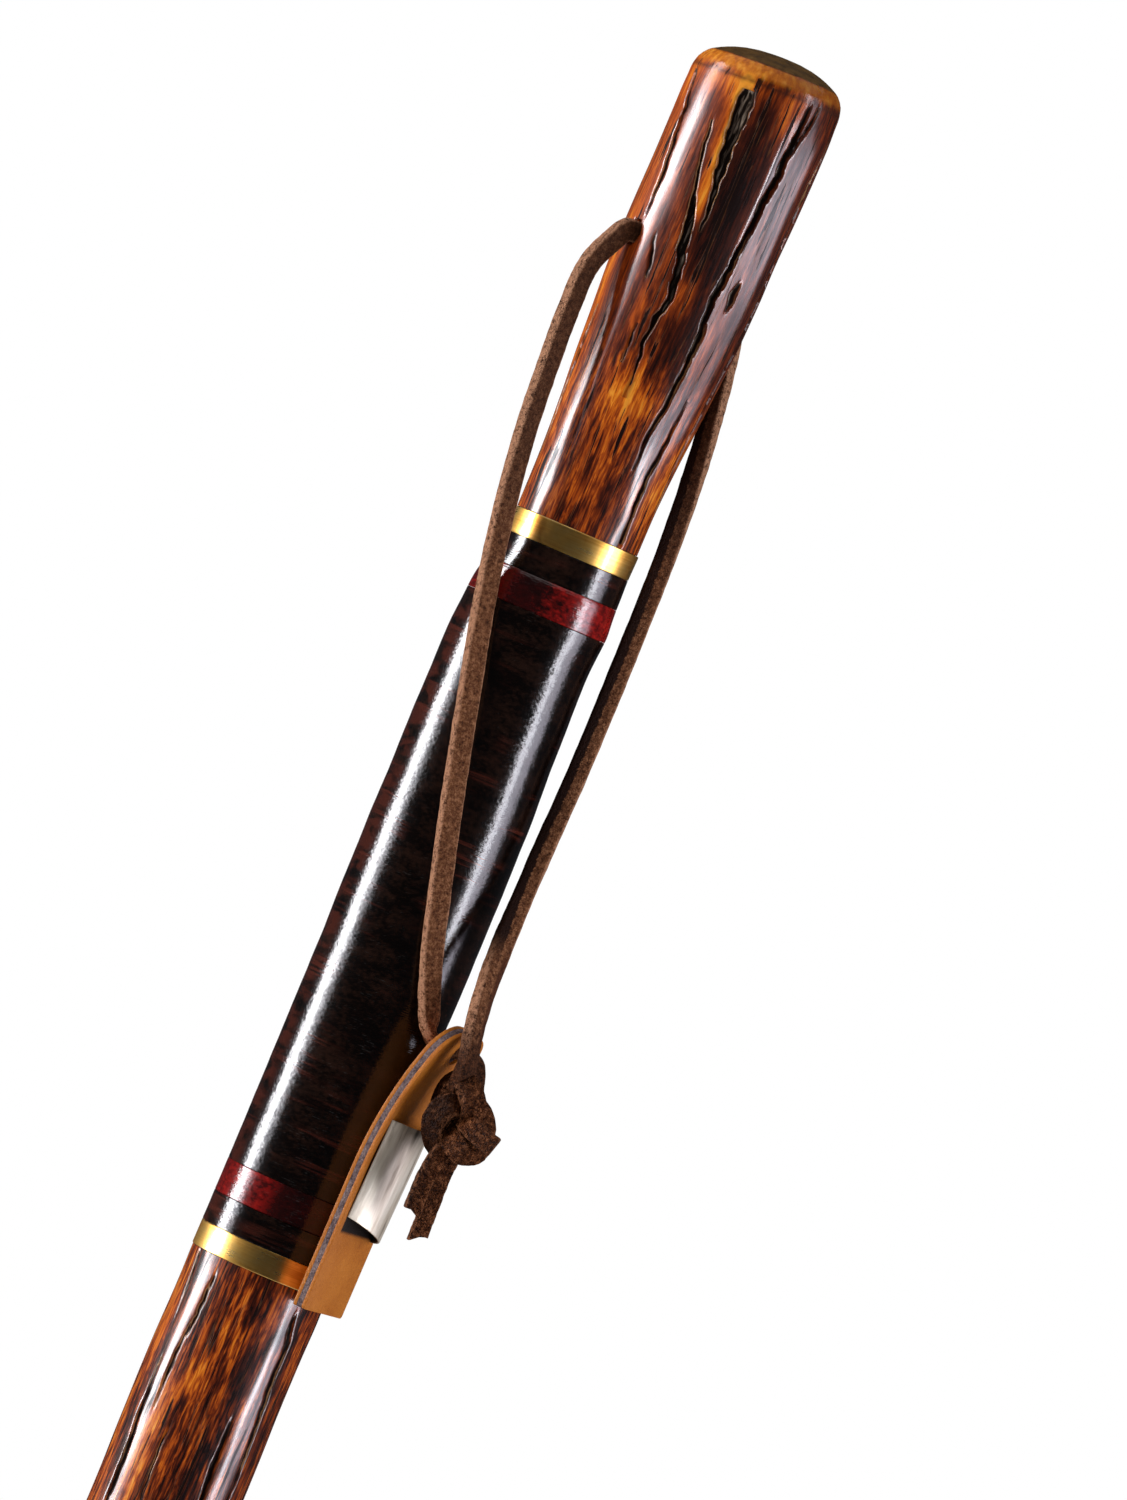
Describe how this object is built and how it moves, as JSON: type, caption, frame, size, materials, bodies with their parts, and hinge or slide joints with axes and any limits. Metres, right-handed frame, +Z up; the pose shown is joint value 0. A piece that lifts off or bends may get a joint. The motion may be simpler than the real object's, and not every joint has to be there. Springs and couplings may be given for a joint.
{
  "type": "hiking staff",
  "caption": "Natural hickory hiking staff with a furrowed head, a lacquered thread grip between gold bands, a tied leather thong, a leather hang tag and a push-on rubber ferrule.",
  "frame": {"origin": "on the grip's axis at the middle of the thread-wound grip, where the hand holds the staff", "axes": "+Z up the staff to the crown, -Y to the front that the picture shows, +X to the side that the tag hangs on"},
  "size_m": [0.0551, 0.0419, 1.4001],
  "materials": {
    "wood": "gloss lacquer over dark bark and amber sapwood",
    "black_thread": "fine thread under gloss lacquer",
    "red_thread": "fine thread under gloss lacquer",
    "gold": "metallic gold under lacquer",
    "lace": "matt rough-sided lace",
    "tan_leather": "smooth satin",
    "grey_leather": "matt cut edge",
    "plate_metal": "satin, tarnished",
    "rubber": "matt moulded",
    "washer_steel": "plain"
  },
  "bodies": {
    "staff": {"shaft": "wood", "upper_gold_band": "gold", "upper_border_winding": "black_thread", "upper_red_winding": "red_thread", "grip_winding": "black_thread", "lower_red_winding": "red_thread", "lower_border_winding": "black_thread", "lower_gold_band": "gold"},
    "thong": {"thong_in_hole": "lace", "thong_left_strand": "lace", "thong_right_strand": "lace", "thong_knot": "lace", "thong_tails": "lace"},
    "tag": {"tag_inner_ply": "tan_leather", "tag_core_ply": "grey_leather", "tag_outer_ply": "tan_leather", "tag_plate": "plate_metal"},
    "ferrule": {"ferrule": "rubber", "ferrule_washer": "washer_steel"}
  },
  "joints": [
    {"name": "thong_swing", "type": "hinge", "parent": "staff", "child": "thong", "pos_m": [0, 0, 0.145], "axis": [-0.8387, -0.5446, 0], "range_deg": [0, 120]},
    {"name": "tag_swing", "type": "hinge", "parent": "thong", "child": "tag", "pos_m": [0.01867, -0.01293, -0.02548], "axis": [0.9272, -0.3746, 0], "range_deg": [-20, 20]},
    {"name": "ferrule_pull", "type": "slide", "parent": "staff", "child": "ferrule", "axis": [0, 0, -1], "range_m": [0, 0.03]}
  ]
}
